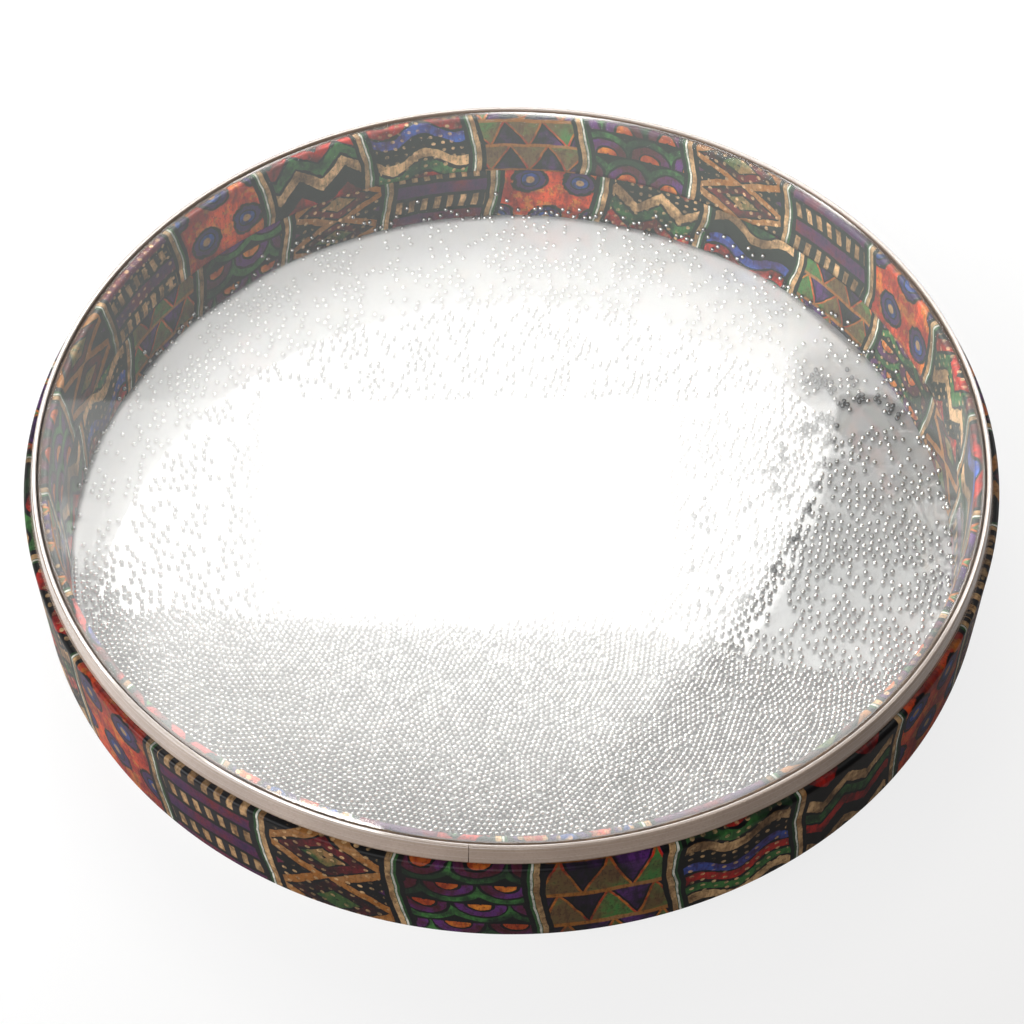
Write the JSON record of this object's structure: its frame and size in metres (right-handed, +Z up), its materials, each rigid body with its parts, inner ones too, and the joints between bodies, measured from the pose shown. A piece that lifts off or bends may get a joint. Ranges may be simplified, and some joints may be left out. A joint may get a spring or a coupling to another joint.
{
  "type": "ocean drum",
  "caption": "Shallow round frame drum with a clear upper head, a white lower head and loose steel shot sealed between them, its shell covered in printed cloth.",
  "frame": {"origin": "on the drum's axis, in the plane that the lower hoop rests on", "axes": "+Z up along the drum's axis to the clear head; -Y towards the side where the shot lies pooled"},
  "size_m": [0.4064, 0.4064, 0.0664],
  "materials": {
    "fibre_shell": "bare wood-fibre composite",
    "printed_cloth": "printed cloth under a satin laminate",
    "lining_cloth": "printed cloth strip, satin",
    "clear_film": "clear glossy polyester film",
    "white_film": "white glossy polyester film",
    "hoop_plastic": "pale grey-beige glossy plastic",
    "steel_shot": "polished steel balls"
  },
  "bodies": {
    "drum": {"shell": "fibre_shell", "outer_wrap": "printed_cloth", "upper_liner": "lining_cloth", "lower_liner": "lining_cloth", "upper_head": "clear_film", "upper_hoop": "hoop_plastic", "lower_head": "white_film", "lower_hoop": "hoop_plastic"},
    "calm_shot": {"centre_strays": "steel_shot"},
    "swirling_shot": {"pool_left": "steel_shot", "pool_front": "steel_shot", "pool_right": "steel_shot", "strays_left": "steel_shot", "strays_back": "steel_shot", "strays_right": "steel_shot"},
    "wall_shot": {"rim_row": "steel_shot"}
  },
  "joints": [
    {"name": "shot_drop", "type": "slide", "parent": "drum", "child": "calm_shot", "axis": [0, 0, 1], "range_m": [0, 0.0613]},
    {"name": "shot_swirl", "type": "hinge", "parent": "calm_shot", "child": "swirling_shot", "pos_m": [0, 0, 0.00255], "axis": [0, 0, 1], "continuous": true},
    {"name": "wall_roll", "type": "hinge", "parent": "calm_shot", "child": "wall_shot", "pos_m": [0, 0, 0.00255], "axis": [0, 0, 1], "continuous": true}
  ]
}
